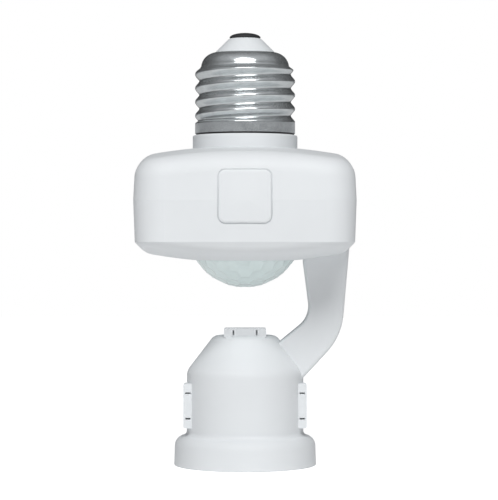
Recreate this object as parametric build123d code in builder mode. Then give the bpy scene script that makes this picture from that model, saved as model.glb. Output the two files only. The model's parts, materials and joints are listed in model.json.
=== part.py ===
from build123d import *
import os
from math import cos, radians, sin, sqrt, tan

# Motion sensor lamp holder, in millimetres.
# It screws into a ceiling socket, carries a sensor behind a milky lens, and holds a lamp below.
# The origin is the centre of the lamp holder's rim, Z points up to the cap,
# the plain front faces -Y and the arm is on +X.

# Stack of heights, from the rim up
socket_height = 34.2
lens_gap = 12.6
lens_projection = 6.6
cover_depth = 5.45
casing_below_waist = 10.55
casing_above_waist = 14.6
collar_height = 2.9
cap_height = 27.0

# Fits and small rounds
fit = 0.1
cap_gap = 0.45
overcut = 1.0
fine_edge = 0.3
soft_edge = 0.5

# Casing
casing_half_width = 28.4
casing_corner = 8.0
casing_wall = 2.0
draft_up = 2.9
draft_down = 2.1
crown_drop = 2.84
form_spare = 3.0
shoulder_round = 5.5
cover_slope = 28.0
cover_round = 4.0
panel_size = 13.9
panel_corner = 2.0
panel_depth = 0.35
panel_height = 0.9

# Lip of the cover, with beads that click into grooves of the housing
lip_height = 2.4
lip_thickness = 1.0
lip_root = 1.5
bead = 0.3
bead_rise = 1.4
bead_length = 12.0

# Screw cap and lamp socket, both with the 27 mm screw
thread_crest = 13.2
thread_root = 12.15
thread_pitch = 3.629
thread_land = 0.9
thread_valley = 0.2
sheet = 0.35
skirt_height = 2.7
skirt_taper = 1.2
shell_top_round = 3.95
shell_neck_radius = 11.6
shell_neck_rise = 1.0
shell_neck_taper = 0.6
tip_radius = 4.65
tip_rise = 1.1
tip_seat = 0.2
cone_height = 3.7
cone_base_radius = 8.1
plug_depth = 3.0
stem_radius = 1.6
stem_length = 4.5

# Collar and neck under the cap
collar_radius = 13.8
collar_root = 1.0
neck_wall = 1.6
neck_height = 12.0

# Lens
lens_radius = 15.3
lens_wall = 0.9
lens_shelf = 1.6
facet_step = 14.5
facet_rings = 4
facet_share = 0.6
facet_blank = (8.0, 8.0, 2.0)
lens_flange_width = 0.7
lens_flange_thickness = 1.0
boss_wall = 0.9
retainer_thickness = 1.2

# Lamp holder, split down its middle
socket_radius = 15.4
socket_wall = 1.6
cone_rise = 9.4
cone_angle = 37.5
knee_round = 4.0
crown_round = 2.4
rim_radius = 18.75
rim_height = 7.2
rim_draft = 0.25
rim_fall = 0.9
rim_round = 2.8
rim_blend = 1.3
mouth_step = 0.4
mouth_round = 0.3
mouth_blend = 0.4

# Arm, its foot measured from the top of the socket and its elbow from the casing
arm_half_depth = 4.2
arm_wall = 1.7
arm_edge = 0.8
arm_side_gap = 0.9
arm_reach = 9.0
arm_inner_bend = 6.5
arm_outer_bend = 16.3
inner_foot_radius = 4.0
inner_foot_drop = 5.89
inner_elbow_out = 1.83
inner_elbow_drop = 14.3
outer_foot_radius = 8.0
outer_foot_drop = 18.92
outer_elbow_in = 2.17
outer_elbow_drop = 19.37
tenon_inset = 0.9
tenon_rise = 1.2
tenon_root = 6.0
pad_thickness = 2.2
pad_margin = 1.0
catch_size = 0.5
catch_width = 4.0

# Snap loops on the front half and tongues on the rear half
loop_front = 6.6
loop_depth = 4.2
loop_height = 2.15
loop_sink = 0.35
loop_corner = 0.5
side_loop_width = 11.7
side_seat_gap = 0.2
top_loop_width = 11.1
loop_cheek = 2.3
slit = 0.4
tongue_low = 0.35
tongue_thickness = 1.15
tongue_recess = 0.25
tongue_root = 4.5

# Circuit board
board_gap = 2.2
board_corner = 5.0
board_thickness = 1.6
board_post_inset = 5.2
board_post_radius = 2.6
board_screw_radius = 1.25
board_screw_length = 6.0
board_screw_spare = 0.5
board_screw_head = 2.2
board_screw_slope = 0.6
board_screw_head_height = 1.4

# What the board carries
sensor_radius = 4.1
sensor_height = 4.2
sensor_brim = 0.5
sensor_window = 1.6
sensor_window_depth = 0.2
sensor_air = 1.1
light_sensor_radius = 2.5
light_sensor_height = 2.0
light_sensor_out = 9.0
relay_size = (15.4, 12.4, 12.0)
relay_aside = 2.0
relay_inset = 12.0
relay_corner = 0.8
dropper_size = (18.0, 6.0, 11.5)
dropper_aside = 2.0
dropper_inset = 8.0
dropper_corner = 0.6
smoothing_radius = 4.0
smoothing_height = 11.0
smoothing_inset = 10.0
smoothing_aside = 5.0
vent_length = 5.5
vent_width = 0.3
vent_depth = 0.25
chip_size = (3.9, 8.7, 1.5)
chip_inset = 6.5
chip_aside = 2.0
chip_leads = 7
chip_lead_pitch = 1.27
chip_lead_size = (1.3, 0.4, 0.6)
chip_lead_spread = 5.1

# Lamp contacts
carrier_thickness = 3.4
carrier_step = 0.4
carrier_flange = 0.7
carrier_flange_thickness = 1.2
carrier_drop = 2.6
leaf_width = 5.0
leaf_thickness = 0.5
leaf_place = -2.6
leaf_rise = 4.4
leaf_foot_drop = 0.9
leaf_low_place = 1.2
leaf_low_drop = 3.4
leaf_end_place = 3.0
leaf_end_drop = 2.2
leaf_bend = 0.8
rivet_radius = 1.2
rivet_spread = 7.6
rivet_head_radius = 2.0
rivet_head = 0.6
terminal_thickness = 0.6
terminal_height = 3.0
terminal_half = 2.8
shell_setback = 5.4
shell_hole = 4.6
shell_corner = 0.7
female_low_margin = 2.6
female_high_margin = 3.6

# Wires
wire_radius = 0.75
wire_spread = 0.9
wire_gap = 0.2
feed_jog_drop = 3.0
feed_bend = 4.0
feed_board_y = 5.0
live_board_x = 4.0
neutral_board_x = 9.0
neutral_solder_rise = 2.5
neutral_drop_x = 6.5
neutral_solder_bend = 1.6
entry_inset = 1.7
entry_rise = 3.75
live_end_rise = 3.7
neutral_end_rise = 2.15
elbow_bend = 7.0
entry_bend = 3.0

# Levels worked out from the stack
cover_bottom = socket_height + lens_gap + lens_projection
parting = cover_bottom + cover_depth
waist = parting + casing_below_waist
crown = waist + casing_above_waist
roof = crown - casing_wall
collar_top = crown + collar_height
cap_base = collar_top + cap_gap
cap_top = collar_top + cap_height
tip_base = cap_top - tip_rise
crest_top = tip_base - cone_height
neck_top = collar_top + neck_height
lens_centre = cover_bottom - lens_projection + lens_radius
lens_seat = cover_bottom + casing_wall + lens_shelf
retainer_bottom = lens_seat + lens_flange_thickness
retainer_top = retainer_bottom + retainer_thickness
board_bottom = retainer_top + sensor_height + sensor_air
board_top = board_bottom + board_thickness
lip_base = parting - lip_root
lip_top = parting + lip_height
bead_height = parting + bead_rise
slot_pad = cover_bottom + casing_wall + pad_thickness

# Sizes worked out for the casing and the lens
crease_side = casing_half_width - casing_below_waist * tan(radians(draft_down))
bead_side = casing_half_width - casing_wall - (waist - bead_height) * tan(radians(draft_down))
panel_face = casing_half_width - panel_depth - panel_size / 2 * tan(radians(draft_down))
lip_side = crease_side - casing_wall - fit
lip_corner = casing_corner - casing_wall - fit
lens_hole = sqrt(lens_radius**2 - (lens_centre - lens_seat) ** 2)
boss_inner = lens_hole + lens_flange_width + fit
boss_outer = boss_inner + boss_wall
neck_radius = thread_root - sheet - fit
seat_radius = thread_root + sheet
seat_top = cap_base + skirt_height + skirt_taper * sheet / (thread_crest - thread_root) - 2 * fit
shell_shoulder = crest_top - shell_top_round - shell_neck_rise
rib_start = cap_base + skirt_height
rib_turns = (shell_shoulder - rib_start) / thread_pitch
tip_curve = (tip_radius**2 + tip_rise**2) / (2 * tip_rise)
crown_radius = casing_half_width**2 / (2 * crown_drop)
board_half_width = casing_half_width - casing_wall - board_gap
board_post_spread = board_half_width - board_post_inset

# Sizes worked out for the lamp holder
slope = tan(radians(cone_angle))
half_slope = tan(radians(cone_angle / 2))
knee_height = socket_height - cone_rise
socket_top_radius = socket_radius - cone_rise * slope
socket_bore = socket_radius - socket_wall
bore_knee = knee_height - socket_wall * half_slope
bore_top = socket_height - socket_wall
bore_top_radius = socket_bore - (bore_top - bore_knee) * slope
mouth_radius = rim_radius - rim_draft - socket_wall
mouth_depth = rim_height - socket_wall - mouth_step
carrier_bottom = bore_knee - carrier_drop + fit
carrier_top = carrier_bottom + carrier_thickness
flange_bottom = carrier_bottom + carrier_step
shell_top = carrier_bottom - sheet
side_seat = socket_bore + side_seat_gap
side_level = (rim_height + knee_height) / 2
tongue_high = tongue_low + tongue_thickness

# Arm outline, from inside the socket to inside the casing
arm_inner_top = boss_outer + fit - tenon_inset
arm_outer_top = casing_half_width - arm_side_gap
arm_middle = (arm_inner_top + arm_outer_top) / 2
arm_inner_foot = (inner_foot_radius, socket_height - inner_foot_drop)
arm_inner_elbow = (arm_inner_top + inner_elbow_out, cover_bottom - inner_elbow_drop)
arm_outer_elbow = (arm_outer_top - outer_elbow_in, cover_bottom - outer_elbow_drop)
arm_outer_foot = (outer_foot_radius, socket_height - outer_foot_drop)

os.makedirs("parts", exist_ok=True)


def casing_form(inset):
    """Closed outer form of the casing, or the same form set in by a wall."""
    half = casing_half_width - inset
    corner = casing_corner - inset
    rise = casing_above_waist + form_spare
    fall = casing_below_waist + cover_depth + form_spare
    up = half - rise * tan(radians(draft_up))
    crease = half - casing_below_waist * tan(radians(draft_down))
    down = crease - (fall - casing_below_waist) * tan(radians(cover_slope))
    levels = [
        (waist - fall, down),
        (parting, crease),
        (waist, half),
        (waist + rise, up),
    ]
    with BuildPart() as form:
        for height, side in levels:
            with BuildSketch(Plane.XY.offset(height)):
                RectangleRounded(2 * side, 2 * side, corner - (half - side) / 2)
        loft(ruled=True)
        with Locations((0, 0, crown - crown_radius)):
            Sphere(crown_radius - inset, mode=Mode.INTERSECT)
        with Locations((0, 0, cover_bottom + crown_radius)):
            Sphere(crown_radius - inset, mode=Mode.INTERSECT)
        fillet(form.faces().sort_by(Axis.Z)[-1].edges(), shoulder_round - inset)
        if inset == 0:
            fillet(form.faces().sort_by(Axis.Z)[0].edges(), cover_round)
    return form.part


def thread_rib(start, turns, inward):
    """Rolled thread as a rib on a helix, on the outside or the inside of a shell."""
    root = thread_crest if inward else thread_root
    crest = thread_root if inward else thread_crest
    sunk = sheet / 2 if inward else -sheet / 2
    foot = (thread_pitch - thread_valley) / 2
    with BuildPart() as rib:
        with BuildLine() as turn:
            Helix(thread_pitch, turns * thread_pitch, root, center=(0, 0, start))
        with BuildSketch(Plane((root, 0, start), x_dir=(1, 0, 0), z_dir=(0, 1, 0))):
            with BuildLine():
                Polyline(
                    (sunk, -foot),
                    (0, -foot),
                    (crest - root, -thread_land / 2),
                    (crest - root, thread_land / 2),
                    (0, foot),
                    (sunk, foot),
                    close=True,
                )
            make_face()
        sweep(path=turn.line, is_frenet=True)
    return rib.part


def inset_corner(before, corner, after, distance):
    """Corner of a path moved to its left, so that both runs move by the distance."""
    run_in = (Vector(*corner) - Vector(*before)).normalized()
    run_out = (Vector(*after) - Vector(*corner)).normalized()
    side_in = Vector(-run_in.Y, run_in.X)
    side_out = Vector(-run_out.Y, run_out.X)
    move = (side_in + side_out) * (distance / (1 + side_in.dot(side_out)))
    return (corner[0] + move.X, corner[1] + move.Y)


def arm_prism(inset):
    """The arm as a prism on both sides of the split, from inside the socket to inside the casing."""
    top = cover_bottom + arm_reach
    points = [
        arm_inner_foot,
        arm_inner_elbow,
        (arm_inner_top, cover_bottom),
        (arm_inner_top, top),
        (arm_outer_top, top),
        (arm_outer_top, parting),
        arm_outer_elbow,
        arm_outer_foot,
    ]
    around = [points[-1]] + points + [points[0]]
    moved = [inset_corner(*around[i : i + 3], -inset) for i in range(len(points))]
    moved[3] = (moved[3][0], top)
    moved[4] = (moved[4][0], top)
    with BuildPart() as prism:
        with BuildSketch(Plane.XZ):
            with BuildLine():
                FilletPolyline(
                    *moved,
                    radius=[0, arm_inner_bend + inset, 0, 0, 0, 0, arm_outer_bend - inset, 0],
                    close=True,
                )
            make_face()
        extrude(amount=arm_half_depth - inset, both=True)
    return prism.part


def between(shape, low, high):
    """The slice of a shape between two heights."""
    with BuildPart() as piece:
        add(shape)
        split(bisect_by=Plane.XY.offset(high), keep=Keep.BOTTOM)
        split(bisect_by=Plane.XY.offset(low), keep=Keep.TOP)
    return piece.part


def slab(site, width, front, back, low, high, mode=Mode.ADD):
    """Box at a snap site: width along it, front and back from the split, low and high from its seat."""
    middle = Pos(0, (front + back) / 2, (low + high) / 2)
    with Locations(site * middle):
        Box(width, front - back, high - low, mode=mode)


def loop_block(site, width):
    """Block with rounded corners that a snap loop is cut from."""
    front_face = Plane(site.origin + site.y_dir * loop_front, x_dir=site.x_dir, z_dir=site.y_dir)
    with BuildPart() as block:
        with BuildSketch(front_face):
            with Locations((0, (loop_sink - loop_height) / 2)):
                RectangleRounded(width, loop_height + loop_sink, loop_corner)
        extrude(amount=-loop_depth)
    return block.part


def shell_section(inset, base):
    """Half section of the metal cap, or the same section set in by the sheet."""
    points = [
        (0, base),
        (thread_crest - inset, base),
        (thread_crest - inset, cap_base + skirt_height),
        (thread_root - inset, cap_base + skirt_height + skirt_taper),
        (thread_root - inset, shell_shoulder - shell_neck_taper),
        (shell_neck_radius - inset, shell_shoulder),
        (shell_neck_radius - inset, crest_top - inset),
        (0, crest_top - inset),
    ]
    top_round = shell_top_round - inset
    rounds = [0, 0, soft_edge, soft_edge, fine_edge, fine_edge, top_round, 0]
    with BuildSketch() as section:
        with BuildLine():
            FilletPolyline(*points, radius=rounds, close=True)
        make_face()
    return section.sketch


# Casing
outer_form = casing_form(0)
inner_form = casing_form(casing_wall)
half_form = casing_form(casing_wall / 2)

with BuildPart() as board_posts:
    with BuildSketch(Plane.XY.offset(board_top)):
        with GridLocations(2 * board_post_spread, 2 * board_post_spread, 2, 2):
            Circle(board_post_radius)
    extrude(amount=roof - board_top)
    add(half_form, mode=Mode.INTERSECT)

with BuildPart() as main_housing:
    add(between(outer_form, parting, crown + overcut))
    add(between(inner_form, parting, roof + overcut), mode=Mode.SUBTRACT)
    # Room for the cover's lip, right into the corners
    with BuildSketch(Plane.XY.offset(parting)):
        RectangleRounded(2 * (lip_side + fit), 2 * (lip_side + fit), lip_corner + fit)
    extrude(amount=lip_height + fit, mode=Mode.SUBTRACT)
    # Collar, the ring that the metal shell's taper seats on, and the neck inside it
    with BuildSketch(Plane.XZ):
        with BuildLine():
            FilletPolyline(
                (0, roof - collar_root),
                (collar_radius, roof - collar_root),
                (collar_radius, collar_top),
                (seat_radius, collar_top),
                (seat_radius, seat_top),
                (neck_radius, seat_top),
                (neck_radius, neck_top),
                (0, neck_top),
                radius=[0, 0, soft_edge, 0, 0, 0, soft_edge, 0],
                close=True,
            )
        make_face()
    revolve(axis=Axis.Z)
    with BuildSketch(Plane.XY.offset(neck_top + overcut)):
        Circle(neck_radius - neck_wall)
    extrude(amount=roof - collar_root - neck_top - 2 * overcut, mode=Mode.SUBTRACT)
    # Posts that the board hangs from
    add(board_posts.part)
    with BuildSketch(Plane.XY.offset(board_top)):
        with GridLocations(2 * board_post_spread, 2 * board_post_spread, 2, 2):
            Circle(board_screw_radius)
    extrude(amount=board_screw_length, mode=Mode.SUBTRACT)
    # Grooves that the cover's beads click into
    with Locations((0, 0, bead_height)):
        with PolarLocations(bead_side, 3, 90, 270):
            Box(2 * bead + 2 * fit, bead_length + 2 * fit, 2 * bead + 2 * fit, mode=Mode.SUBTRACT)
    # Plain panel sunk into the front
    with BuildSketch(Plane.XZ.offset(panel_face)):
        with Locations((0, waist + panel_height)):
            RectangleRounded(panel_size, panel_size, panel_corner)
    extrude(amount=overcut, mode=Mode.SUBTRACT)
main_housing.part.label = "main_housing"
export_step(main_housing.part, "parts/main_housing.step")

with BuildPart() as slot_frame:
    with BuildSketch(Plane.XY.offset(slot_pad)):
        with Locations((arm_middle, 0)):
            Rectangle(
                arm_outer_top - arm_inner_top - 2 * (tenon_inset - pad_margin),
                2 * (arm_half_depth + pad_margin),
            )
        Circle((boss_inner + boss_outer) / 2, mode=Mode.SUBTRACT)
    extrude(amount=cover_bottom - slot_pad)
    add(half_form, mode=Mode.INTERSECT)

# Inside of the lip, which keeps the domed floor whole in its corners
with BuildPart() as lip_bore:
    with BuildSketch(Plane.XY.offset(lip_base)):
        RectangleRounded(
            2 * (lip_side - lip_thickness),
            2 * (lip_side - lip_thickness),
            lip_corner - lip_thickness,
        )
    extrude(amount=lip_top - lip_base + overcut)
    with Locations((0, 0, cover_bottom + crown_radius)):
        Sphere(crown_radius - casing_wall, mode=Mode.INTERSECT)

with BuildPart() as bottom_cover:
    add(between(outer_form, cover_bottom - overcut, parting))
    with BuildSketch(Plane.XY.offset(parting - fit)):
        RectangleRounded(2 * lip_side, 2 * lip_side, lip_corner)
    extrude(amount=lip_height + fit)
    add(lip_bore.part, mode=Mode.SUBTRACT)
    add(between(inner_form, cover_bottom, lip_base), mode=Mode.SUBTRACT)
    # Boss round the lens, with the flat that its flange sits on
    with BuildSketch(Plane.XY.offset(cover_bottom + casing_wall / 2)):
        Circle(boss_outer)
    extrude(amount=retainer_top - cover_bottom - casing_wall / 2)
    with BuildSketch(Plane.XY.offset(lens_seat)):
        Circle(boss_inner)
    extrude(amount=retainer_top - lens_seat + overcut, mode=Mode.SUBTRACT)
    with Locations((0, 0, lens_centre)):
        Sphere(lens_radius + fit, mode=Mode.SUBTRACT)
    add(slot_frame.part)
    add(arm_prism(tenon_inset - fit), mode=Mode.SUBTRACT)
    with Locations((0, 0, bead_height)):
        with PolarLocations(bead_side - fit, 3, 90, 270):
            Box(2 * bead, bead_length, 2 * bead)
bottom_cover.part.label = "bottom_cover"
export_step(bottom_cover.part, "parts/bottom_cover.step")

# Lens, a smooth dome with flat facets inside, in rings of six, twelve, eighteen and so on
cavity_radius = lens_radius - lens_wall
facet_reach = cavity_radius * cos(radians(facet_step * facet_share))
facet_planes = []
for ring in range(facet_rings + 1):
    polar = radians(ring * facet_step)
    count = max(1, 6 * ring)
    for place in range(count):
        turn = radians(360 * (place + 0.5 * (ring % 2)) / count)
        facing = Vector(sin(polar) * cos(turn), sin(polar) * sin(turn), -cos(polar))
        centre = Vector(0, 0, lens_centre) + facing * facet_reach
        facet_planes.append(Plane(centre, z_dir=facing))

with BuildPart() as lens_cavity:
    with Locations((0, 0, lens_centre)):
        Sphere(cavity_radius)
    for facet in facet_planes:
        with Locations(facet):
            Box(*facet_blank, align=(Align.CENTER, Align.CENTER, Align.MIN), mode=Mode.SUBTRACT)

with BuildPart() as fresnel_lens:
    with Locations((0, 0, lens_centre)):
        Sphere(lens_radius)
    split(bisect_by=Plane.XY.offset(lens_seat + lens_flange_thickness / 2), keep=Keep.BOTTOM)
    with BuildSketch(Plane.XY.offset(lens_seat)):
        Circle(boss_inner - fit)
    extrude(amount=lens_flange_thickness)
    add(lens_cavity.part, mode=Mode.SUBTRACT)
fresnel_lens.part.label = "fresnel_lens"
export_step(fresnel_lens.part, "parts/fresnel_lens.step")

with BuildPart() as lens_retainer:
    with BuildSketch(Plane.XY.offset(retainer_bottom)):
        Circle(boss_inner - fit)
        Circle(lens_hole - lens_wall, mode=Mode.SUBTRACT)
    extrude(amount=retainer_thickness)
lens_retainer.part.label = "lens_retainer"
export_step(lens_retainer.part, "parts/lens_retainer.step")

# Screw cap
with BuildPart() as cap_screw_shell:
    with BuildSketch(Plane.XZ):
        add(shell_section(0, cap_base))
    revolve(axis=Axis.Z)
    add(thread_rib(rib_start, rib_turns, False))
    with BuildSketch(Plane.XZ):
        add(shell_section(sheet, cap_base - overcut))
    revolve(axis=Axis.Z, mode=Mode.SUBTRACT)
    with BuildSketch(Plane.XY.offset(crest_top - overcut)):
        Circle(cone_base_radius)
    extrude(amount=2 * overcut, mode=Mode.SUBTRACT)
cap_screw_shell.part.label = "cap_screw_shell"
export_step(cap_screw_shell.part, "parts/cap_screw_shell.step")

with BuildPart() as cap_insulator:
    with BuildSketch(Plane.XZ):
        with BuildLine():
            FilletPolyline(
                (stem_radius, crest_top - plug_depth),
                (cone_base_radius - fit, crest_top - plug_depth),
                (cone_base_radius - fit, crest_top),
                (tip_radius + tip_seat, tip_base),
                (stem_radius, tip_base),
                radius=[0, soft_edge, soft_edge, fine_edge, 0],
                close=True,
            )
        make_face()
    revolve(axis=Axis.Z)
cap_insulator.part.label = "cap_insulator"
export_step(cap_insulator.part, "parts/cap_insulator.step")

with BuildPart() as cap_centre_contact:
    with Locations((0, 0, cap_top - tip_curve)):
        Sphere(tip_curve)
    split(bisect_by=Plane.XY.offset(tip_base), keep=Keep.TOP)
    with BuildSketch(Plane.XY.offset(tip_base)):
        Circle(stem_radius)
    extrude(amount=-stem_length)
cap_centre_contact.part.label = "cap_centre_contact"
export_step(cap_centre_contact.part, "parts/cap_centre_contact.step")

# Lamp holder, made whole and then split down its middle
with BuildPart() as holder_form:
    add(arm_prism(0))
    fillet(holder_form.edges().group_by(Axis.Y)[0], arm_edge)
    fillet(holder_form.edges().group_by(Axis.Y)[-1], arm_edge)
    add(outer_form, mode=Mode.SUBTRACT)
    split(bisect_by=Plane.XY.offset(parting), keep=Keep.BOTTOM)
    with BuildSketch(Plane.XZ):
        with BuildLine():
            FilletPolyline(
                (0, 0),
                (rim_radius, 0),
                (rim_radius - rim_draft, rim_height),
                (socket_radius, rim_height + rim_fall),
                (socket_radius, knee_height),
                (socket_top_radius, socket_height),
                (0, socket_height),
                radius=[0, fine_edge, rim_round, rim_blend, knee_round, crown_round, 0],
                close=True,
            )
        make_face()
    revolve(axis=Axis.Z)
    add(between(arm_prism(tenon_inset), cover_bottom - tenon_root, slot_pad + tenon_rise))
    # Catches on the tenon, above the pad
    with Locations((arm_middle, 0, slot_pad + fit + catch_size / 2)):
        Box(catch_width, 2 * (arm_half_depth - tenon_inset + catch_size), catch_size)
    # Bore for the lamp's cap, the groove for the contact carrier and the wireway
    with BuildSketch(Plane.XZ):
        with BuildLine():
            FilletPolyline(
                (0, -overcut),
                (mouth_radius, -overcut),
                (mouth_radius, mouth_depth),
                (socket_bore, mouth_depth + rim_fall),
                (socket_bore, bore_knee),
                (bore_top_radius, bore_top),
                (0, bore_top),
                radius=[0, 0, mouth_round, mouth_blend, 0, 0, 0],
                close=True,
            )
        make_face()
        with Locations((0, flange_bottom - fit)):
            Rectangle(
                socket_bore + carrier_flange + fit,
                carrier_flange_thickness + 2 * fit,
                align=(Align.MIN, Align.MIN),
            )
    revolve(axis=Axis.Z, mode=Mode.SUBTRACT)
    add(between(arm_prism(arm_wall), bore_knee, slot_pad + arm_reach / 2), mode=Mode.SUBTRACT)

# Snap sites: a seat on the split plane, with X along the loop, Y to the front and Z outward
snap_sites = [
    (Plane((side_seat, 0, side_level), x_dir=(0, 0, 1), z_dir=(1, 0, 0)), side_loop_width),
    (Plane((-side_seat, 0, side_level), x_dir=(0, 0, -1), z_dir=(-1, 0, 0)), side_loop_width),
    (Plane((0, 0, socket_height), x_dir=(-1, 0, 0), z_dir=(0, 0, 1)), top_loop_width),
]

with BuildPart() as holder_front:
    add(holder_form.part)
    split(bisect_by=Plane.XZ, keep=Keep.TOP)
    for site, width in snap_sites:
        window = width - 2 * loop_cheek
        past = loop_front - loop_depth - overcut
        slab(site, window, loop_front, 0, tongue_low - fit, loop_height, Mode.SUBTRACT)
        add(loop_block(site, width))
        slab(site, window, loop_front + overcut, past, tongue_low - fit, tongue_high + fit,
             Mode.SUBTRACT)
holder_front.part.label = "holder_front"
export_step(holder_front.part, "parts/holder_front.step")

with BuildPart() as holder_rear:
    add(holder_form.part)
    split(bisect_by=Plane.XZ, keep=Keep.BOTTOM)
    for site, width in snap_sites:
        tongue_width = width - 2 * (loop_cheek + slit)
        slab(site, tongue_width, loop_front - tongue_recess, -tongue_root, tongue_low, tongue_high)
        slab(site, tongue_width, -fit, -tongue_root, -loop_sink, tongue_low)
holder_rear.part.label = "holder_rear"
export_step(holder_rear.part, "parts/holder_rear.step")

# Circuit board and its screws
with BuildPart() as circuit_board:
    with BuildSketch(Plane.XY.offset(board_bottom)):
        RectangleRounded(2 * board_half_width, 2 * board_half_width, board_corner)
        with GridLocations(2 * board_post_spread, 2 * board_post_spread, 2, 2):
            Circle(board_screw_radius + fit, mode=Mode.SUBTRACT)
    extrude(amount=board_thickness)
circuit_board.part.label = "circuit_board"
export_step(circuit_board.part, "parts/circuit_board.step")

with BuildPart() as board_screws:
    with GridLocations(2 * board_post_spread, 2 * board_post_spread, 2, 2):
        with Locations((0, 0, board_bottom)):
            Cylinder(board_screw_radius, board_thickness + board_screw_length - board_screw_spare,
                     align=(Align.CENTER, Align.CENTER, Align.MIN))
            Cone(board_screw_head - board_screw_slope, board_screw_head, board_screw_head_height,
                 align=(Align.CENTER, Align.CENTER, Align.MAX))
board_screws.part.label = "board_screws"
export_step(board_screws.part, "parts/board_screws.step")

# Sensors and the control chip, on the board's underside
with BuildPart() as motion_sensor:
    with BuildSketch(Plane.XZ):
        with BuildLine():
            FilletPolyline(
                (0, board_bottom),
                (sensor_radius + sensor_brim, board_bottom),
                (sensor_radius + sensor_brim, board_bottom - sensor_brim),
                (sensor_radius, board_bottom - sensor_brim),
                (sensor_radius, board_bottom - sensor_height),
                (0, board_bottom - sensor_height),
                radius=[0, sensor_brim / 2, 0, 0, soft_edge, 0],
                close=True,
            )
        make_face()
    revolve(axis=Axis.Z)
    with BuildSketch(Plane.XY.offset(board_bottom - sensor_height)):
        Rectangle(3 * sensor_window, 2 * sensor_window)
    extrude(amount=sensor_window_depth, mode=Mode.SUBTRACT)
motion_sensor.part.label = "motion_sensor"
export_step(motion_sensor.part, "parts/motion_sensor.step")

with BuildPart() as light_sensor:
    with BuildSketch(Plane.XY.offset(board_bottom)):
        with Locations((0, -light_sensor_out)):
            Circle(light_sensor_radius)
    extrude(amount=-light_sensor_height)
    fillet(light_sensor.edges().sort_by(Axis.Z)[0], fine_edge)
light_sensor.part.label = "light_sensor"
export_step(light_sensor.part, "parts/light_sensor.step")

chip_place = (chip_inset - board_half_width, -chip_aside)
with BuildPart() as control_chip:
    with BuildSketch(Plane.XY.offset(board_bottom)):
        with Locations(chip_place):
            Rectangle(chip_size[0], chip_size[1])
    extrude(amount=-chip_size[2])
    chamfer(control_chip.faces().sort_by(Axis.Z)[0].edges(), fine_edge)
    with BuildSketch(Plane.XY.offset(board_bottom)):
        with Locations(chip_place):
            with GridLocations(chip_lead_spread, chip_lead_pitch, 2, chip_leads):
                Rectangle(chip_lead_size[0], chip_lead_size[1])
    extrude(amount=-chip_lead_size[2])
control_chip.part.label = "control_chip"
export_step(control_chip.part, "parts/control_chip.step")

# Relay and capacitors, on the board's top
with BuildPart() as switching_relay:
    with BuildSketch(Plane.XY.offset(board_top)):
        with Locations((relay_aside, relay_inset - board_half_width)):
            Rectangle(relay_size[0], relay_size[1])
    extrude(amount=relay_size[2])
    fillet(switching_relay.edges().filter_by(Axis.Z), relay_corner)
    fillet(switching_relay.faces().sort_by(Axis.Z)[-1].edges(), soft_edge)
switching_relay.part.label = "switching_relay"
export_step(switching_relay.part, "parts/switching_relay.step")

with BuildPart() as dropper_capacitor:
    with BuildSketch(Plane.XY.offset(board_top)):
        with Locations((dropper_aside, board_half_width - dropper_inset)):
            Rectangle(dropper_size[0], dropper_size[1])
    extrude(amount=dropper_size[2])
    fillet(dropper_capacitor.edges().filter_by(Axis.Z), dropper_corner)
    fillet(dropper_capacitor.faces().sort_by(Axis.Z)[-1].edges(), soft_edge)
dropper_capacitor.part.label = "dropper_capacitor"
export_step(dropper_capacitor.part, "parts/dropper_capacitor.step")

smoothing_place = (smoothing_inset - board_half_width, smoothing_aside)
with BuildPart() as smoothing_capacitor:
    with BuildSketch(Plane.XY.offset(board_top)):
        with Locations(smoothing_place):
            Circle(smoothing_radius)
    extrude(amount=smoothing_height)
    fillet(smoothing_capacitor.edges().sort_by(Axis.Z)[-1], soft_edge)
    with BuildSketch(Plane.XY.offset(board_top + smoothing_height)):
        with Locations(smoothing_place):
            Rectangle(vent_length, vent_width)
            Rectangle(vent_width, vent_length)
    extrude(amount=-vent_depth, mode=Mode.SUBTRACT)
smoothing_capacitor.part.label = "smoothing_capacitor"
export_step(smoothing_capacitor.part, "parts/smoothing_capacitor.step")

# Contact carrier at the top of the lamp socket, with the lamp's contacts
carrier_shoulder = bore_knee - fit
carrier_side = socket_bore - fit
flange_top = flange_bottom + carrier_flange_thickness
with BuildPart() as contact_carrier:
    with BuildSketch(Plane.XZ):
        with BuildLine():
            Polyline(
                (0, carrier_bottom),
                (carrier_side, carrier_bottom),
                (carrier_side, flange_bottom),
                (socket_bore + carrier_flange, flange_bottom),
                (socket_bore + carrier_flange, flange_top),
                (carrier_side, flange_top),
                (carrier_side, carrier_shoulder),
                (carrier_side - carrier_top + carrier_shoulder, carrier_top),
                (0, carrier_top),
                close=True,
            )
        make_face()
    revolve(axis=Axis.Z)
    with BuildSketch(Plane.XY.offset(carrier_bottom)):
        with Locations((leaf_place, 0)):
            Rectangle(leaf_thickness + 2 * fit, leaf_width + 2 * fit)
        with Locations((rivet_spread, 0), (-rivet_spread, 0)):
            Circle(rivet_radius)
    extrude(amount=carrier_thickness, mode=Mode.SUBTRACT)
contact_carrier.part.label = "contact_carrier"
export_step(contact_carrier.part, "parts/contact_carrier.step")

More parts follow.
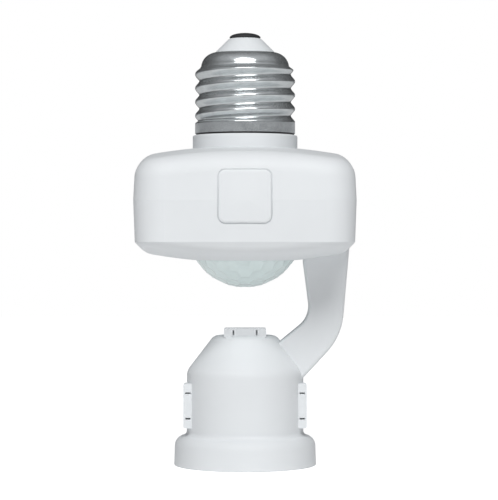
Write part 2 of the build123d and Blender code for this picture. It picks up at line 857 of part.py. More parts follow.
female_start = shell_setback + female_low_margin
female_turns = (shell_top - female_high_margin - female_start) / thread_pitch
with BuildPart() as socket_screw_shell:
    with BuildSketch(Plane.XZ):
        with BuildLine():
            FilletPolyline(
                (thread_crest, shell_setback),
                (thread_crest + sheet, shell_setback),
                (thread_crest + sheet, carrier_bottom),
                (shell_hole, carrier_bottom),
                (shell_hole, shell_top),
                (thread_crest, shell_top),
                radius=[0, 0, shell_corner + sheet, 0, 0, shell_corner],
                close=True,
            )
        make_face()
    revolve(axis=Axis.Z)
    add(thread_rib(female_start, female_turns, True))
    with BuildSketch(Plane.XY.offset(shell_top)):
        with Locations((rivet_spread, 0), (-rivet_spread, 0)):
            Circle(rivet_radius)
    extrude(amount=sheet, mode=Mode.SUBTRACT)
socket_screw_shell.part.label = "socket_screw_shell"
export_step(socket_screw_shell.part, "parts/socket_screw_shell.step")

with BuildPart() as socket_centre_contact:
    with BuildSketch(Plane.XZ):
        with BuildLine():
            leaf = FilletPolyline(
                (leaf_place, carrier_top + leaf_rise),
                (leaf_place, carrier_bottom - leaf_foot_drop),
                (leaf_low_place, carrier_bottom - leaf_low_drop),
                (leaf_end_place, carrier_bottom - leaf_end_drop),
                radius=leaf_bend,
            )
        trace(lines=leaf, line_width=leaf_thickness)
    extrude(amount=leaf_width / 2, both=True)
socket_centre_contact.part.label = "socket_centre_contact"
export_step(socket_centre_contact.part, "parts/socket_centre_contact.step")

with BuildPart() as neutral_terminal:
    with BuildSketch(Plane.XY.offset(carrier_top)):
        with Locations((rivet_spread, 0)):
            Rectangle(2 * terminal_half, leaf_width)
            Circle(rivet_radius, mode=Mode.SUBTRACT)
    extrude(amount=terminal_thickness)
    with Locations((rivet_spread - terminal_half, -leaf_width / 2, carrier_top)):
        Box(terminal_thickness, leaf_width / 2 - fit, terminal_height,
            align=(Align.MIN, Align.MIN, Align.MIN))
neutral_terminal.part.label = "neutral_terminal"
export_step(neutral_terminal.part, "parts/neutral_terminal.step")

rivet_tops = [
    (rivet_spread, carrier_top + terminal_thickness),
    (-rivet_spread, carrier_top),
]
with BuildPart() as carrier_rivets:
    for place, top in rivet_tops:
        with Locations((place, 0, shell_top)):
            Cylinder(rivet_radius, top - shell_top, align=(Align.CENTER, Align.CENTER, Align.MIN))
            Cylinder(rivet_head_radius, rivet_head, align=(Align.CENTER, Align.CENTER, Align.MAX))
        with Locations((place, 0, top)):
            Cylinder(rivet_head_radius, rivet_head, align=(Align.CENTER, Align.CENTER, Align.MIN))
carrier_rivets.part.label = "carrier_rivets"
export_step(carrier_rivets.part, "parts/carrier_rivets.step")

# Wires from the cap down to the board
tip_end = tip_base - stem_length
with BuildPart() as live_feed_wire:
    with BuildLine() as live_feed_path:
        FilletPolyline(
            (0, 0, tip_end),
            (0, 0, collar_top),
            (live_board_x, feed_board_y, roof - feed_jog_drop),
            (live_board_x, feed_board_y, board_top),
            radius=feed_bend,
        )
    with BuildSketch(Plane((0, 0, tip_end), z_dir=(0, 0, -1))):
        Circle(wire_radius)
    sweep(path=live_feed_path.line)
live_feed_wire.part.label = "live_feed_wire"
export_step(live_feed_wire.part, "parts/live_feed_wire.step")

solder_point = (thread_root - sheet - wire_gap, 0, neck_top + neutral_solder_rise)
with BuildPart() as neutral_feed_wire:
    with BuildLine() as neutral_feed_path:
        FilletPolyline(
            solder_point,
            (neutral_drop_x, 0, neck_top + neutral_solder_rise),
            (neutral_drop_x, 0, collar_top),
            (neutral_board_x, feed_board_y, roof - feed_jog_drop),
            (neutral_board_x, feed_board_y, board_top),
            radius=[neutral_solder_bend, feed_bend, feed_bend],
        )
    with BuildSketch(Plane(solder_point, z_dir=(-1, 0, 0))):
        Circle(wire_radius)
    sweep(path=neutral_feed_path.line)
neutral_feed_wire.part.label = "neutral_feed_wire"
export_step(neutral_feed_wire.part, "parts/neutral_feed_wire.step")

# Wires from the board through the arm to the lamp's contacts
elbow_place = (arm_inner_elbow[0] + arm_outer_elbow[0]) / 2
elbow_height = (arm_inner_elbow[1] + arm_outer_elbow[1]) / 2
entry_place = socket_bore - entry_inset
entry_height = carrier_top + entry_rise
with BuildPart() as lamp_live_wire:
    with BuildLine() as lamp_live_path:
        FilletPolyline(
            (arm_middle, wire_spread, board_bottom),
            (elbow_place, wire_spread, elbow_height),
            (entry_place, wire_spread, entry_height),
            (leaf_place + leaf_thickness / 2, wire_spread, carrier_top + live_end_rise),
            radius=[elbow_bend, entry_bend],
        )
    with BuildSketch(Plane((arm_middle, wire_spread, board_bottom), z_dir=(0, 0, -1))):
        Circle(wire_radius)
    sweep(path=lamp_live_path.line)
lamp_live_wire.part.label = "lamp_live_wire"
export_step(lamp_live_wire.part, "parts/lamp_live_wire.step")

terminal_face = rivet_spread - terminal_half + terminal_thickness
with BuildPart() as lamp_neutral_wire:
    with BuildLine() as lamp_neutral_path:
        FilletPolyline(
            (arm_middle, -wire_spread, board_bottom),
            (elbow_place, -wire_spread, elbow_height),
            (entry_place, -wire_spread, entry_height),
            (terminal_face + wire_gap, -wire_spread, carrier_top + neutral_end_rise),
            radius=[elbow_bend, entry_bend],
        )
    with BuildSketch(Plane((arm_middle, -wire_spread, board_bottom), z_dir=(0, 0, -1))):
        Circle(wire_radius)
    sweep(path=lamp_neutral_path.line)
lamp_neutral_wire.part.label = "lamp_neutral_wire"
export_step(lamp_neutral_wire.part, "parts/lamp_neutral_wire.step")
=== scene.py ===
import json
import math
from itertools import product

import bpy
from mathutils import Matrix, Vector


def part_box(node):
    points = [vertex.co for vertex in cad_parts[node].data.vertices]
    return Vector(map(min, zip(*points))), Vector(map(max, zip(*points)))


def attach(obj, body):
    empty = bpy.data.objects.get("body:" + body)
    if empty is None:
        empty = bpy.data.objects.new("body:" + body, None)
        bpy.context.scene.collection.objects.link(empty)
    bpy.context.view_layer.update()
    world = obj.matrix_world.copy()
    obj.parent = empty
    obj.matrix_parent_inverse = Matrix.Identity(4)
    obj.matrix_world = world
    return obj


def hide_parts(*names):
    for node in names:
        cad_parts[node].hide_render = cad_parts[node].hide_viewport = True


# Motion sensor lamp holder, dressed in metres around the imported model.
# Lengths in the sections on pieces are in millimetres and are scaled where a mesh is made.

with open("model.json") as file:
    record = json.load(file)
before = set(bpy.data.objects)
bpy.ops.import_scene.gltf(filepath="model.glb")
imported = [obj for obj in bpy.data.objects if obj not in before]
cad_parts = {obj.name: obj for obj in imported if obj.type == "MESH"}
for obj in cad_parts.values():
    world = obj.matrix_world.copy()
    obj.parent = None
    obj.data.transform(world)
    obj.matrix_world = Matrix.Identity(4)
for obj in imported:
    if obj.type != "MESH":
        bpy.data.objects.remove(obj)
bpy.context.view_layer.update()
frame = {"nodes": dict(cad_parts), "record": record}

MM = 0.001
QUARTER = math.radians(90)


# Camera, placed so that the object's axis and rim fall where the photograph has them

PHOTO_HEIGHT = 500
PIXEL = 0.264 * MM
FOCAL_PIXELS = 2080
SENSOR = 36
EYE_ROW = 237
RIM_ROW = 464.7
AXIS_COLUMN = 245.1
CENTRE = (249, 250)
CLIP_START = 0.01


def row_height(row):
    """Height above the rim of a row of the photograph, at the object's axis."""
    return (RIM_ROW - row) * PIXEL


def make_camera():
    aside = (CENTRE[0] - AXIS_COLUMN) * PIXEL
    data = bpy.data.cameras.new("camera")
    data.lens = FOCAL_PIXELS / PHOTO_HEIGHT * SENSOR
    data.sensor_width = SENSOR
    data.clip_start = CLIP_START
    camera = bpy.data.objects.new("camera", data)
    bpy.context.collection.objects.link(camera)
    camera.location = (aside, -FOCAL_PIXELS * PIXEL, row_height(EYE_ROW))
    aim = Vector((aside, 0, row_height(CENTRE[1]))) - camera.location
    camera.rotation_euler = aim.to_track_quat("-Z", "Y").to_euler()
    bpy.context.scene.camera = camera


# Materials, with noise scales in waves to the metre

TINT_SPAN = (0.3, 0.7)

PLASTIC_DRIFT = 60
PLASTIC_GLOSS = 220
PLASTIC_GRAIN = 2500
PLASTIC_GRAIN_DETAIL = 4
PLASTIC_SWING = 0.05
PLASTIC_BUMP = (0.25, 0.02 * MM)

METAL_DRIFT = 400
METAL_GLOSS = 700
METAL_GRAIN = 900
METAL_GRAIN_DETAIL = 2
METAL_DARK = 0.88
METAL_PALE = 1.08
METAL_SWING = (0.8, 1.3)
METAL_BUMP = (0.2, 0.01 * MM)


def new_material(name):
    material = bpy.data.materials.new(name)
    material.use_nodes = True
    return material, material.node_tree, material.node_tree.nodes["Principled BSDF"]


def noise(tree, scale, detail=3):
    """Noise in metres of the object, so that its scale is real."""
    place = tree.nodes.new("ShaderNodeTexCoord")
    texture = tree.nodes.new("ShaderNodeTexNoise")
    texture.inputs["Scale"].default_value = scale
    texture.inputs["Detail"].default_value = detail
    tree.links.new(place.outputs["Object"], texture.inputs["Vector"])
    return texture.outputs["Fac"]


def spread(tree, value, low, high, source=(0, 1)):
    """The value moved from the source range to the range from low to high."""
    remap = tree.nodes.new("ShaderNodeMapRange")
    remap.inputs["From Min"].default_value = source[0]
    remap.inputs["From Max"].default_value = source[1]
    remap.inputs["To Min"].default_value = low
    remap.inputs["To Max"].default_value = high
    tree.links.new(value, remap.inputs["Value"])
    return remap.outputs["Result"]


def tint(tree, value, dark, pale):
    """A colour between dark and pale by the value."""
    ramp = tree.nodes.new("ShaderNodeValToRGB")
    for element, position, colour in zip(ramp.color_ramp.elements, TINT_SPAN, (dark, pale)):
        element.position = position
        element.color = (*colour, 1)
    tree.links.new(value, ramp.inputs["Fac"])
    return ramp.outputs["Color"]


def bump(tree, value, strength, distance):
    """The normal of a surface roughened by the value."""
    node = tree.nodes.new("ShaderNodeBump")
    node.inputs["Strength"].default_value = strength
    node.inputs["Distance"].default_value = distance
    tree.links.new(value, node.inputs["Height"])
    return node.outputs["Normal"]


def plastic(name, dark, pale, rough):
    """Moulded plastic: a faint drift of tone, uneven gloss and a fine spark-eroded grain."""
    material, tree, shader = new_material(name)
    tone = tint(tree, noise(tree, PLASTIC_DRIFT), dark, pale)
    tree.links.new(tone, shader.inputs["Base Color"])
    gloss = spread(tree, noise(tree, PLASTIC_GLOSS), rough - PLASTIC_SWING, rough + PLASTIC_SWING)
    tree.links.new(gloss, shader.inputs["Roughness"])
    grain = bump(tree, noise(tree, PLASTIC_GRAIN, PLASTIC_GRAIN_DETAIL), *PLASTIC_BUMP)
    tree.links.new(grain, shader.inputs["Normal"])
    return material


def metal(name, colour, rough, shine=1):
    """Metal sheet: uneven gloss and a faint grain."""
    material, tree, shader = new_material(name)
    pale = tuple(min(1, part * METAL_PALE) for part in colour)
    dark = tuple(part * METAL_DARK for part in colour)
    tone = tint(tree, noise(tree, METAL_DRIFT), dark, pale)
    tree.links.new(tone, shader.inputs["Base Color"])
    shader.inputs["Metallic"].default_value = shine
    gloss = spread(tree, noise(tree, METAL_GLOSS), rough * METAL_SWING[0], rough * METAL_SWING[1])
    tree.links.new(gloss, shader.inputs["Roughness"])
    grain = bump(tree, noise(tree, METAL_GRAIN, METAL_GRAIN_DETAIL), *METAL_BUMP)
    tree.links.new(grain, shader.inputs["Normal"])
    return material


MATERIALS = {
    "white_plastic": plastic("white_plastic", (0.775, 0.8, 0.815), (0.8, 0.825, 0.84), 0.62),
    "lens_plastic": plastic("lens_plastic", (0.79, 0.9, 0.89), (0.83, 0.93, 0.92), 0.18),
    "grey_plastic": plastic("grey_plastic", (0.32, 0.33, 0.34), (0.36, 0.37, 0.38), 0.5),
    "nickel": metal("nickel", (0.68, 0.715, 0.725), 0.19, shine=0.86),
    "insulator_white": plastic("insulator_white", (0.8, 0.83, 0.845), (0.83, 0.86, 0.875), 0.5),
    "ceramic_white": plastic("ceramic_white", (0.74, 0.71, 0.65), (0.8, 0.78, 0.73), 0.6),
    "dark_contact": plastic("dark_contact", (0.018, 0.018, 0.02), (0.03, 0.03, 0.032), 0.7),
    "brass": metal("brass", (0.7, 0.5, 0.2), 0.3),
    "board_green": plastic("board_green", (0.01, 0.09, 0.03), (0.015, 0.12, 0.04), 0.35),
    "zinc_steel": metal("zinc_steel", (0.6, 0.6, 0.62), 0.3),
    "sensor_face": plastic("sensor_face", (0.4, 0.2, 0.08), (0.5, 0.27, 0.12), 0.5),
    "component_black": plastic("component_black", (0.01, 0.01, 0.011), (0.016, 0.016, 0.018), 0.4),
    "component_blue": plastic("component_blue", (0.01, 0.05, 0.25), (0.012, 0.06, 0.3), 0.4),
    "component_yellow": plastic("component_yellow", (0.5, 0.32, 0.02), (0.55, 0.36, 0.03), 0.4),
    "wire_brown": plastic("wire_brown", (0.07, 0.02, 0.01), (0.09, 0.03, 0.015), 0.4),
    "wire_blue": plastic("wire_blue", (0.01, 0.05, 0.3), (0.015, 0.07, 0.36), 0.4),
}


def dress_nodes():
    """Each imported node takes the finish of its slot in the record."""
    for part in frame["record"]["subparts"]:
        node = frame["nodes"][part["node"]]
        node.data.materials.clear()
        node.data.materials.append(MATERIALS[part["material_slot"]])


# Making of meshes from rings of points

SHARP_ANGLE = math.radians(55)


def ring(radius, height, sides):
    """Points of a level circle."""
    turns = [math.tau * side / sides for side in range(sides)]
    return [(radius * math.cos(turn), radius * math.sin(turn), height) for turn in turns]


def mesh_piece(name, points, faces):
    """Object in the scene from points in millimetres."""
    mesh = bpy.data.meshes.new(name)
    mesh.from_pydata([tuple(value * MM for value in point) for point in points], [], faces)
    piece = bpy.data.objects.new(name, mesh)
    bpy.context.collection.objects.link(piece)
    return piece


def ring_mesh(name, rings):
    """Closed band of quads through rings of points, the last ring joined to the first."""
    count = len(rings[0])
    faces = []
    for row in range(len(rings)):
        after = (row + 1) % len(rings)
        for step in range(count):
            following = (step + 1) % count
            faces.append((
                row * count + step,
                row * count + following,
                after * count + following,
                after * count + step,
            ))
    piece = mesh_piece(name, [point for points in rings for point in points], faces)
    piece.data.update()
    for face in piece.data.polygons:
        face.use_smooth = True
    piece.data.set_sharp_from_angle(angle=SHARP_ANGLE)
    return piece


def fit_out(piece, node, finish):
    """The piece takes that finish and, where a node is given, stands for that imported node."""
    piece.data.materials.append(MATERIALS[finish])
    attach(piece, "root")
    if node:
        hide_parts(node)


# Shell of the cap, with a screw thread rolled in sheet metal

CAP_BASE = 87.35
SKIRT_TOP = 90.05
CREST_TOP = 108.65
THREAD_CREST = 13.2
THREAD_ROOT = 12.1
THREAD_PITCH = 3.629
THREAD_START = 90.24
THREAD_END = 104.6
THREAD_FULLNESS = 0.85
THREAD_RISE = (SKIRT_TOP - 0.1, SKIRT_TOP + 0.9)
THREAD_FADE = (THREAD_END - 0.9, THREAD_END + 0.4)
NECK_RADIUS = 11.6
NECK_START = 105.2
NECK_RUN = (NECK_START - 1.2, NECK_START)
TOP_ROUND = 3.95
CONE_RADIUS = 8.1
TOP_LIP = 0.35
SHEET = 0.35
SHELL_SIDES = 224
SHELL_STEP = 0.11
EDGE_ROW = 0.04
FIRST_ROW = 0.1
TOP_STEPS = 16


def smooth_step(value, low, high):
    """0 below low, 1 above high and a soft run between them."""
    share = min(1, max(0, (value - low) / (high - low)))
    return share * share * (3 - 2 * share)


def thread_wave(height, start, turn):
    """0 at the roots and 1 at the crests of a thread, at a turn from 0 to 1."""
    return 0.5 + 0.5 * math.cos(math.tau * ((height - start) / THREAD_PITCH - turn))


def rolled_radius(height, turn):
    """Radius of the cap's shell at a height and a turn from 0 to 1."""
    wave = thread_wave(height, THREAD_START, turn) ** THREAD_FULLNESS
    rise = smooth_step(height, *THREAD_RISE)
    fade = 1 - smooth_step(height, *THREAD_FADE)
    neck = smooth_step(height, *NECK_RUN)
    root = THREAD_ROOT + (NECK_RADIUS - THREAD_ROOT) * neck
    thread = root + (THREAD_CREST - root) * wave * fade
    return THREAD_CREST + (thread - THREAD_CREST) * rise


def rolled_ring(height, inset):
    """Points around the rolled part of the shell, set in by a distance."""
    points = []
    for side in range(SHELL_SIDES):
        turn = side / SHELL_SIDES
        out = rolled_radius(height, turn) - inset
        points.append((out * math.cos(math.tau * turn), out * math.sin(math.tau * turn), height))
    return points


def thread_piece():
    """Metal shell of the cap: rolled outside, rounded top, and its inside one sheet further in."""
    shoulder = CREST_TOP - TOP_ROUND
    rows = int((shoulder - CAP_BASE) / SHELL_STEP)
    levels = [CAP_BASE, CAP_BASE + EDGE_ROW]
    levels += [CAP_BASE + FIRST_ROW + row * SHELL_STEP for row in range(rows)]
    top = []
    for step in range(1, TOP_STEPS):
        angle = QUARTER * step / TOP_STEPS
        radius = NECK_RADIUS - TOP_ROUND * (1 - math.cos(angle))
        top.append((radius, shoulder + TOP_ROUND * math.sin(angle)))
    top.append((CONE_RADIUS - TOP_LIP, CREST_TOP))
    rings = [rolled_ring(level, 0) for level in levels]
    rings += [ring(radius, height, SHELL_SIDES) for radius, height in top]
    rings += [ring(radius - SHEET, height - SHEET, SHELL_SIDES) for radius, height in reversed(top)]
    rings += [rolled_ring(level, SHEET) for level in reversed(levels)]
    fit_out(ring_mesh("cap_thread", rings), "cap_screw_shell", "nickel")


# Tip of the cap: a white cone with a dark contact that sits on it like a drop

CONE_LOW = 106.1
CONE_FOOT = CONE_RADIUS - 0.1
CONE_SHOULDER = (4.15, 112.45)
CONE_INNER = 2.0
CONE_ROUND = 0.5
ROUND_STEPS = 5
TIP_RADIUS = 4.1
TIP_LEVEL = 112.65
TIP_TOP = 113.9
TIP_UNDER = 0.35
TIP_SIDES = 96
TIP_STEPS = 24
AXIS_RADIUS = 0.01


def turned_piece(name, profile, node, finish):
    """Solid of revolution through (radius, height) points, closed along the axis."""
    ends = [(AXIS_RADIUS, profile[0][1]), *profile, (AXIS_RADIUS, profile[-1][1])]
    piece = ring_mesh(name, [ring(radius, height, TIP_SIDES) for radius, height in ends])
    fit_out(piece, node, finish)


def soft_corner(before, corner, after):
    """Points that round a corner of the cone's profile by a curve."""
    before, corner, after = Vector(before), Vector(corner), Vector(after)
    first = corner.lerp(before, CONE_ROUND / (before - corner).length)
    last = corner.lerp(after, CONE_ROUND / (after - corner).length)
    points = []
    for step in range(ROUND_STEPS + 1):
        share = step / ROUND_STEPS
        points.append(tuple(first.lerp(corner, share).lerp(corner.lerp(last, share), share)))
    return points


def tip_pieces():
    low = (CONE_FOOT, CONE_LOW)
    foot = (CONE_FOOT, CREST_TOP)
    inner = (CONE_INNER, CONE_SHOULDER[1])
    cone = [low, *soft_corner(low, foot, CONE_SHOULDER)]
    cone += [*soft_corner(foot, CONE_SHOULDER, inner), inner]
    turned_piece("tip_cone", cone, "cap_insulator", "insulator_white")
    drop = []
    for step in range(TIP_STEPS + 1):
        angle = math.radians(-90 + 180 * step / TIP_STEPS)
        tall = TIP_TOP - TIP_LEVEL if angle > 0 else TIP_UNDER
        drop.append((TIP_RADIUS * math.cos(angle), TIP_LEVEL + tall * math.sin(angle)))
    turned_piece("tip_contact", drop, "cap_centre_contact", "dark_contact")


# Black ring in the narrow gap between the metal skirt and the collar: painted shade of that gap, not a
# seal

GAP_SHADE_INNER = 12.3
GAP_SHADE_OUTER = 12.95
GAP_SHADE_LOW = 86.9
GAP_SHADE_SIDES = 128


def gap_shade_ring_piece():
    profile = [(GAP_SHADE_INNER, GAP_SHADE_LOW), (GAP_SHADE_OUTER, GAP_SHADE_LOW)]
    profile += [(GAP_SHADE_OUTER, CAP_BASE), (GAP_SHADE_INNER, CAP_BASE)]
    piece = ring_mesh("cap_gap_shade", [ring(radius, height, GAP_SHADE_SIDES) for radius, height in profile])
    # The black finish paints the shadow in the gap under the skirt.
    fit_out(piece, None, "component_black")


# Lens: a dome of small hollow cells in a honeycomb, smooth inside

LENS_RADIUS = 15.3
LENS_WALL = 0.9
LENS_FLANGE = 1.0
LENS_SIDES = 300
LENS_ROWS = 96
CAVITY_ROWS = 24
POLE_ANGLE = 0.002
CELL_STEP = math.radians(14.5)
CELL_DEPTH = 0.42
CELL_EDGE = 0.55
CELL_ROW = math.sin(math.radians(60))


def cell_reach(u, v):
    """Distance from the middle of the nearest honeycomb cell, for cells one unit apart."""
    reaches = []
    first_row = math.floor(v / CELL_ROW)
    for row in (first_row, first_row + 1):
        first = math.floor(u - row / 2)
        for place in (first, first + 1):
            reaches.append(math.hypot(u - (place + row / 2), v - row * CELL_ROW))
    return min(reaches)


def lens_piece():
    low, high = (Vector(corner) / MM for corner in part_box("fresnel_lens"))
    centre = low.z + LENS_RADIUS
    seat = high.z - LENS_FLANGE
    widest = math.acos((centre - seat) / LENS_RADIUS)
    rings = []
    for row in range(LENS_ROWS + 1):
        polar = max(POLE_ANGLE, widest * row / LENS_ROWS)
        reach = polar / CELL_STEP
        points = []
        for side in range(LENS_SIDES):
            turn = math.tau * side / LENS_SIDES
            around = turn - QUARTER
            share = cell_reach(reach * math.cos(around), reach * math.sin(around))
            out = LENS_RADIUS - CELL_DEPTH * (1 - min(1, share / CELL_EDGE) ** 2)
            points.append((
                out * math.sin(polar) * math.cos(turn),
                out * math.sin(polar) * math.sin(turn),
                centre - out * math.cos(polar),
            ))
        rings.append(points)
    rings += [ring(high.x, seat, LENS_SIDES), ring(high.x, high.z, LENS_SIDES)]
    cavity = LENS_RADIUS - LENS_WALL
    top = math.acos((centre - high.z) / cavity)
    for row in reversed(range(CAVITY_ROWS + 1)):
        polar = max(POLE_ANGLE, top * row / CAVITY_ROWS)
        rings.append(ring(cavity * math.sin(polar), centre - cavity * math.cos(polar), LENS_SIDES))
    fit_out(ring_mesh("lens_dome", rings), "fresnel_lens", "lens_plastic")


# Snap tongues, nearly flush in their loops, so that only a slit shows at each end

SIDE_SEAT = 14.0
SIDE_LEVEL = 16.0
TOP_SEAT = 34.2
LOOP_FRONT = 6.6
TONGUE_MIDDLE = 0.93
TONGUE_SPREAD = 0.86
SIDE_TONGUE = 3.05
TOP_TONGUE = 2.8
TONGUE_PROUD = 0.04
TONGUE_DEEP = 0.6
BACKING = (1.6, 2.4)
BACKING_SPARE = 0.7
BOX_FACES = [(0, 1, 3, 2), (4, 6, 7, 5), (0, 4, 5, 1), (2, 3, 7, 6), (0, 2, 6, 4), (1, 5, 7, 3)]


def block_piece(name, low, high):
    """White box between two corners."""
    piece = mesh_piece(name, list(product(*zip(low, high))), BOX_FACES)
    fit_out(piece, None, "white_plastic")


def tongue_pieces():
    """A face in each loop, and a wider backing further in that closes the view through the slits."""
    face = (-LOOP_FRONT - TONGUE_PROUD, -LOOP_FRONT + TONGUE_DEEP)
    backing = tuple(-LOOP_FRONT + deep for deep in BACKING)
    inner = TONGUE_MIDDLE - TONGUE_SPREAD
    outer = TONGUE_MIDDLE + TONGUE_SPREAD
    for name, (near, far), spare in (("face", face, 0), ("backing", backing, BACKING_SPARE)):
        half = TOP_TONGUE + spare
        block_piece(f"tongue_top_{name}", (-half, near, TOP_SEAT + inner), (half, far, TOP_SEAT + outer))
        half = SIDE_TONGUE + spare
        for place, side in (("left", -1), ("right", 1)):
            ends = sorted(side * (SIDE_SEAT + reach) for reach in (inner, outer))
            low = (ends[0], near, SIDE_LEVEL - half)
            high = (ends[1], far, SIDE_LEVEL + half)
            block_piece(f"tongue_{place}_{name}", low, high)


# Plain inlay of the front panel, with a narrow groove around it

WAIST = 69.4
HALF_WIDTH = 28.4
DRAFT_UP = math.radians(2.9)
DRAFT_DOWN = math.radians(2.1)
PANEL_SIZE = 13.9
PANEL_CORNER = 2.0
PANEL_MIDDLE = 70.3
PANEL_GAP = 0.22
PANEL_EDGE = 0.22
PANEL_BACK = 0.3
PANEL_CORNER_STEPS = 8
PANEL_RINGS = 12
PANEL_HUB = 0.001


def wall_face(height):
    """Distance of the casing's front from the axis at a height."""
    away = height - WAIST
    return HALF_WIDTH - abs(away) * math.tan(DRAFT_UP if away > 0 else DRAFT_DOWN)


def panel_outline(inset):
    """Rounded square as (across, height) points, set in all round."""
    corner = PANEL_CORNER - inset
    reach = (PANEL_SIZE / 2 - inset - corner) * math.sqrt(2)
    points = []
    for quarter in range(4):
        middle = QUARTER * (quarter + 0.5)
        for step in range(PANEL_CORNER_STEPS + 1):
            angle = QUARTER * (quarter + step / PANEL_CORNER_STEPS)
            across = reach * math.cos(middle) + corner * math.cos(angle)
            points.append((across, PANEL_MIDDLE + reach * math.sin(middle) + corner * math.sin(angle)))
    return points


def panel_piece():
    edge = panel_outline(PANEL_GAP)
    rings = []
    for depth in (PANEL_BACK, PANEL_EDGE):
        rings.append([(across, depth - wall_face(height), height) for across, height in edge])
    face = panel_outline(PANEL_GAP + PANEL_EDGE)
    for step in range(PANEL_RINGS + 1):
        share = max(PANEL_HUB, 1 - step / PANEL_RINGS)
        points = []
        for across, height in face:
            level = PANEL_MIDDLE + (height - PANEL_MIDDLE) * share
            points.append((across * share, -wall_face(level), level))
        rings.append(points)
    fit_out(ring_mesh("front_inlay", rings), None, "white_plastic")


# Screw shell inside the lamp socket, with a smooth thread that fades out at both ends

SOCKET_CREST = 13.2
SOCKET_DEPTH = 1.1
SOCKET_HOLE = 4.6
SOCKET_SIDES = 192
SOCKET_STEP = 0.14
SOCKET_TOP = 2.0
SOCKET_RISE = (0.8, 2.0)
SOCKET_FADE = 3.4
ROOF_ROUND = 1.0
ROOF_EDGE = 0.8


def socket_piece():
    low, high = (Vector(corner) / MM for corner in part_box("socket_screw_shell"))
    rows = int((high.z - SOCKET_TOP - low.z) / SOCKET_STEP)
    levels = [low.z + row * SOCKET_STEP for row in range(rows + 1)]

    def socket_ring(level, out):
        """Points around the threaded part at a level, moved outwards by a distance."""
        rise = smooth_step(level, low.z + SOCKET_RISE[0], low.z + SOCKET_RISE[1])
        fade = 1 - smooth_step(level, high.z - SOCKET_FADE, high.z - SOCKET_TOP)
        points = []
        for side in range(SOCKET_SIDES):
            turn = side / SOCKET_SIDES
            size = SOCKET_CREST - SOCKET_DEPTH * thread_wave(level, 0, turn) * (rise * fade) + out
            points.append((size * math.cos(math.tau * turn), size * math.sin(math.tau * turn), level))
        return points

    roof = high.z - SHEET
    profile = [
        (SOCKET_CREST, roof - ROOF_ROUND),
        (SOCKET_CREST - ROOF_ROUND, roof),
        (SOCKET_HOLE, roof),
        (SOCKET_HOLE, high.z),
        (SOCKET_CREST - ROOF_EDGE, high.z),
        (SOCKET_CREST + SHEET, high.z - ROOF_ROUND),
    ]
    rings = [socket_ring(level, 0) for level in levels]
    rings += [ring(radius, height, SOCKET_SIDES) for radius, height in profile]
    rings += [socket_ring(level, SHEET) for level in reversed(levels)]
    fit_out(ring_mesh("socket_thread", rings), "socket_screw_shell", "nickel")


# Studio: a glowing floor, one soft lamp, and a world that shows white to the camera.
# The object sees banded light from that world instead, given as (height, level).

WHITE = (1, 1, 1, 1)
SKY_TONE = (0.88, 0.885, 0.91)
SKY_BANDS = [
    (0.0, 0.12),
    (0.015, 0.12),
    (0.03, 0.66),
    (0.07, 0.6),
    (0.1, 0.16),
    (0.34, 0.16),
    (0.5, 0.3),
    (0.75, 0.5),
    (0.9, 0.6),
    (1.0, 0.5),
]
NEW_BAND = 0.5
LOW_BAND = (0.075, 0.1)
LOW_SHARE = 0.8
DEPTH_SPAN = (-0.35, 0.45)
BACK_SHARE = 0.22
FLOOR_HALF = 1.0
FLOOR_TONE = (0.82, 0.82, 0.82)
FLOOR_PALE = 1.01
FLOOR_NOISE = 30
FLOOR_ROUGH = 0.9
FLOOR_SEEN_GLOW = 0.82
FLOOR_LIT_GLOW = 0.19
KEY_PLACE = (0, -0.77, 0.78)
KEY_AIM = (0, 0, 0.06)
KEY_SIZE = (0.8, 0.42)
KEY_POWER = 7.4


def larger(tree, first, second):
    """The larger of two values."""
    node = tree.nodes.new("ShaderNodeMath")
    node.operation = "MAXIMUM"
    tree.links.new(first, node.inputs[0])
    tree.links.new(second, node.inputs[1])
    return node.outputs[0]


def ray_mix(tree, to_camera, to_object):
    """One shader for what is seen directly or through the lens, another for what lights the object."""
    path = tree.nodes.new("ShaderNodeLightPath")
    mix = tree.nodes.new("ShaderNodeMixShader")
    seen = larger(tree, path.outputs["Is Camera Ray"], path.outputs["Is Transmission Ray"])
    tree.links.new(seen, mix.inputs["Fac"])
    tree.links.new(to_object, mix.inputs[1])
    tree.links.new(to_camera, mix.inputs[2])
    return mix.outputs[0]


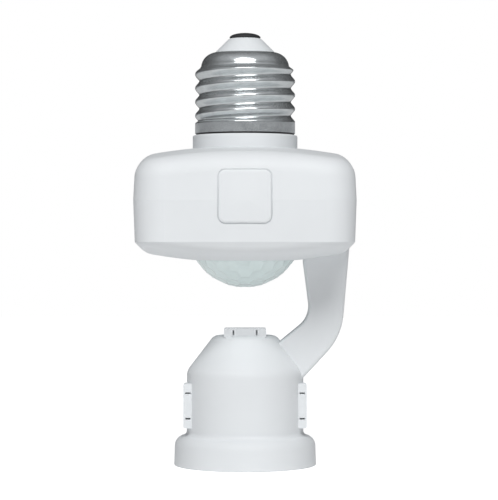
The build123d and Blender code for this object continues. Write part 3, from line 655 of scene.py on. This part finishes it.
def make_world():
    """White for the camera; for the object a studio with banded light, brightest in front."""
    world = bpy.data.worlds.new("studio")
    bpy.context.scene.world = world
    world.use_nodes = True
    tree = world.node_tree
    tree.nodes.clear()
    white = tree.nodes.new("ShaderNodeBackground")
    white.inputs["Color"].default_value = WHITE
    place = tree.nodes.new("ShaderNodeTexCoord")
    parts = tree.nodes.new("ShaderNodeSeparateXYZ")
    tree.links.new(place.outputs["Generated"], parts.inputs[0])
    bands = tree.nodes.new("ShaderNodeValToRGB")
    ramp = bands.color_ramp
    while len(ramp.elements) < len(SKY_BANDS):
        ramp.elements.new(NEW_BAND)
    for element, (height, level) in zip(ramp.elements, SKY_BANDS):
        element.position = height
        element.color = (*(level * part for part in SKY_TONE), 1)
    tree.links.new(parts.outputs["Z"], bands.inputs["Fac"])
    depth = spread(tree, parts.outputs["Y"], 1, BACK_SHARE, DEPTH_SPAN)
    low = spread(tree, parts.outputs["Z"], LOW_SHARE, 0, LOW_BAND)
    glow = tree.nodes.new("ShaderNodeBackground")
    tree.links.new(bands.outputs["Color"], glow.inputs["Color"])
    tree.links.new(larger(tree, depth, low), glow.inputs["Strength"])
    output = tree.nodes.new("ShaderNodeOutputWorld")
    mixed = ray_mix(tree, white.outputs[0], glow.outputs[0])
    tree.links.new(mixed, output.inputs["Surface"])


def lifted(tree, shader, lift):
    """A shader with a little glow added, so that the floor stands for a light table."""
    glow = tree.nodes.new("ShaderNodeEmission")
    glow.inputs["Strength"].default_value = lift
    both = tree.nodes.new("ShaderNodeAddShader")
    tree.links.new(shader.outputs[0], both.inputs[0])
    tree.links.new(glow.outputs[0], both.inputs[1])
    return both.outputs[0]


def make_floor():
    mesh = bpy.data.meshes.new("floor")
    half = FLOOR_HALF
    corners = [(-half, -half, 0), (half, -half, 0), (half, half, 0), (-half, half, 0)]
    mesh.from_pydata(corners, [], [(0, 1, 2, 3)])
    floor = bpy.data.objects.new("floor", mesh)
    bpy.context.collection.objects.link(floor)
    material, tree, shader = new_material("floor")
    shader.inputs["Roughness"].default_value = FLOOR_ROUGH
    pale = tuple(part * FLOOR_PALE for part in FLOOR_TONE)
    tone = tint(tree, noise(tree, FLOOR_NOISE), FLOOR_TONE, pale)
    tree.links.new(tone, shader.inputs["Base Color"])
    seen = lifted(tree, shader, FLOOR_SEEN_GLOW)
    lit = lifted(tree, shader, FLOOR_LIT_GLOW)
    tree.links.new(ray_mix(tree, seen, lit), tree.nodes["Material Output"].inputs["Surface"])
    mesh.materials.append(material)


def make_key_lamp():
    data = bpy.data.lights.new("key", "AREA")
    data.shape = "ELLIPSE"
    data.size, data.size_y = KEY_SIZE
    data.energy = KEY_POWER
    lamp = bpy.data.objects.new("key", data)
    bpy.context.collection.objects.link(lamp)
    lamp.location = KEY_PLACE
    aim = Vector(KEY_AIM) - Vector(KEY_PLACE)
    lamp.rotation_euler = aim.to_track_quat("-Z", "Y").to_euler()


bpy.context.scene.view_settings.view_transform = "Standard"
make_camera()
dress_nodes()
thread_piece()
tip_pieces()
gap_shade_ring_piece()
lens_piece()
tongue_pieces()
panel_piece()
socket_piece()
make_world()
make_floor()
make_key_lamp()
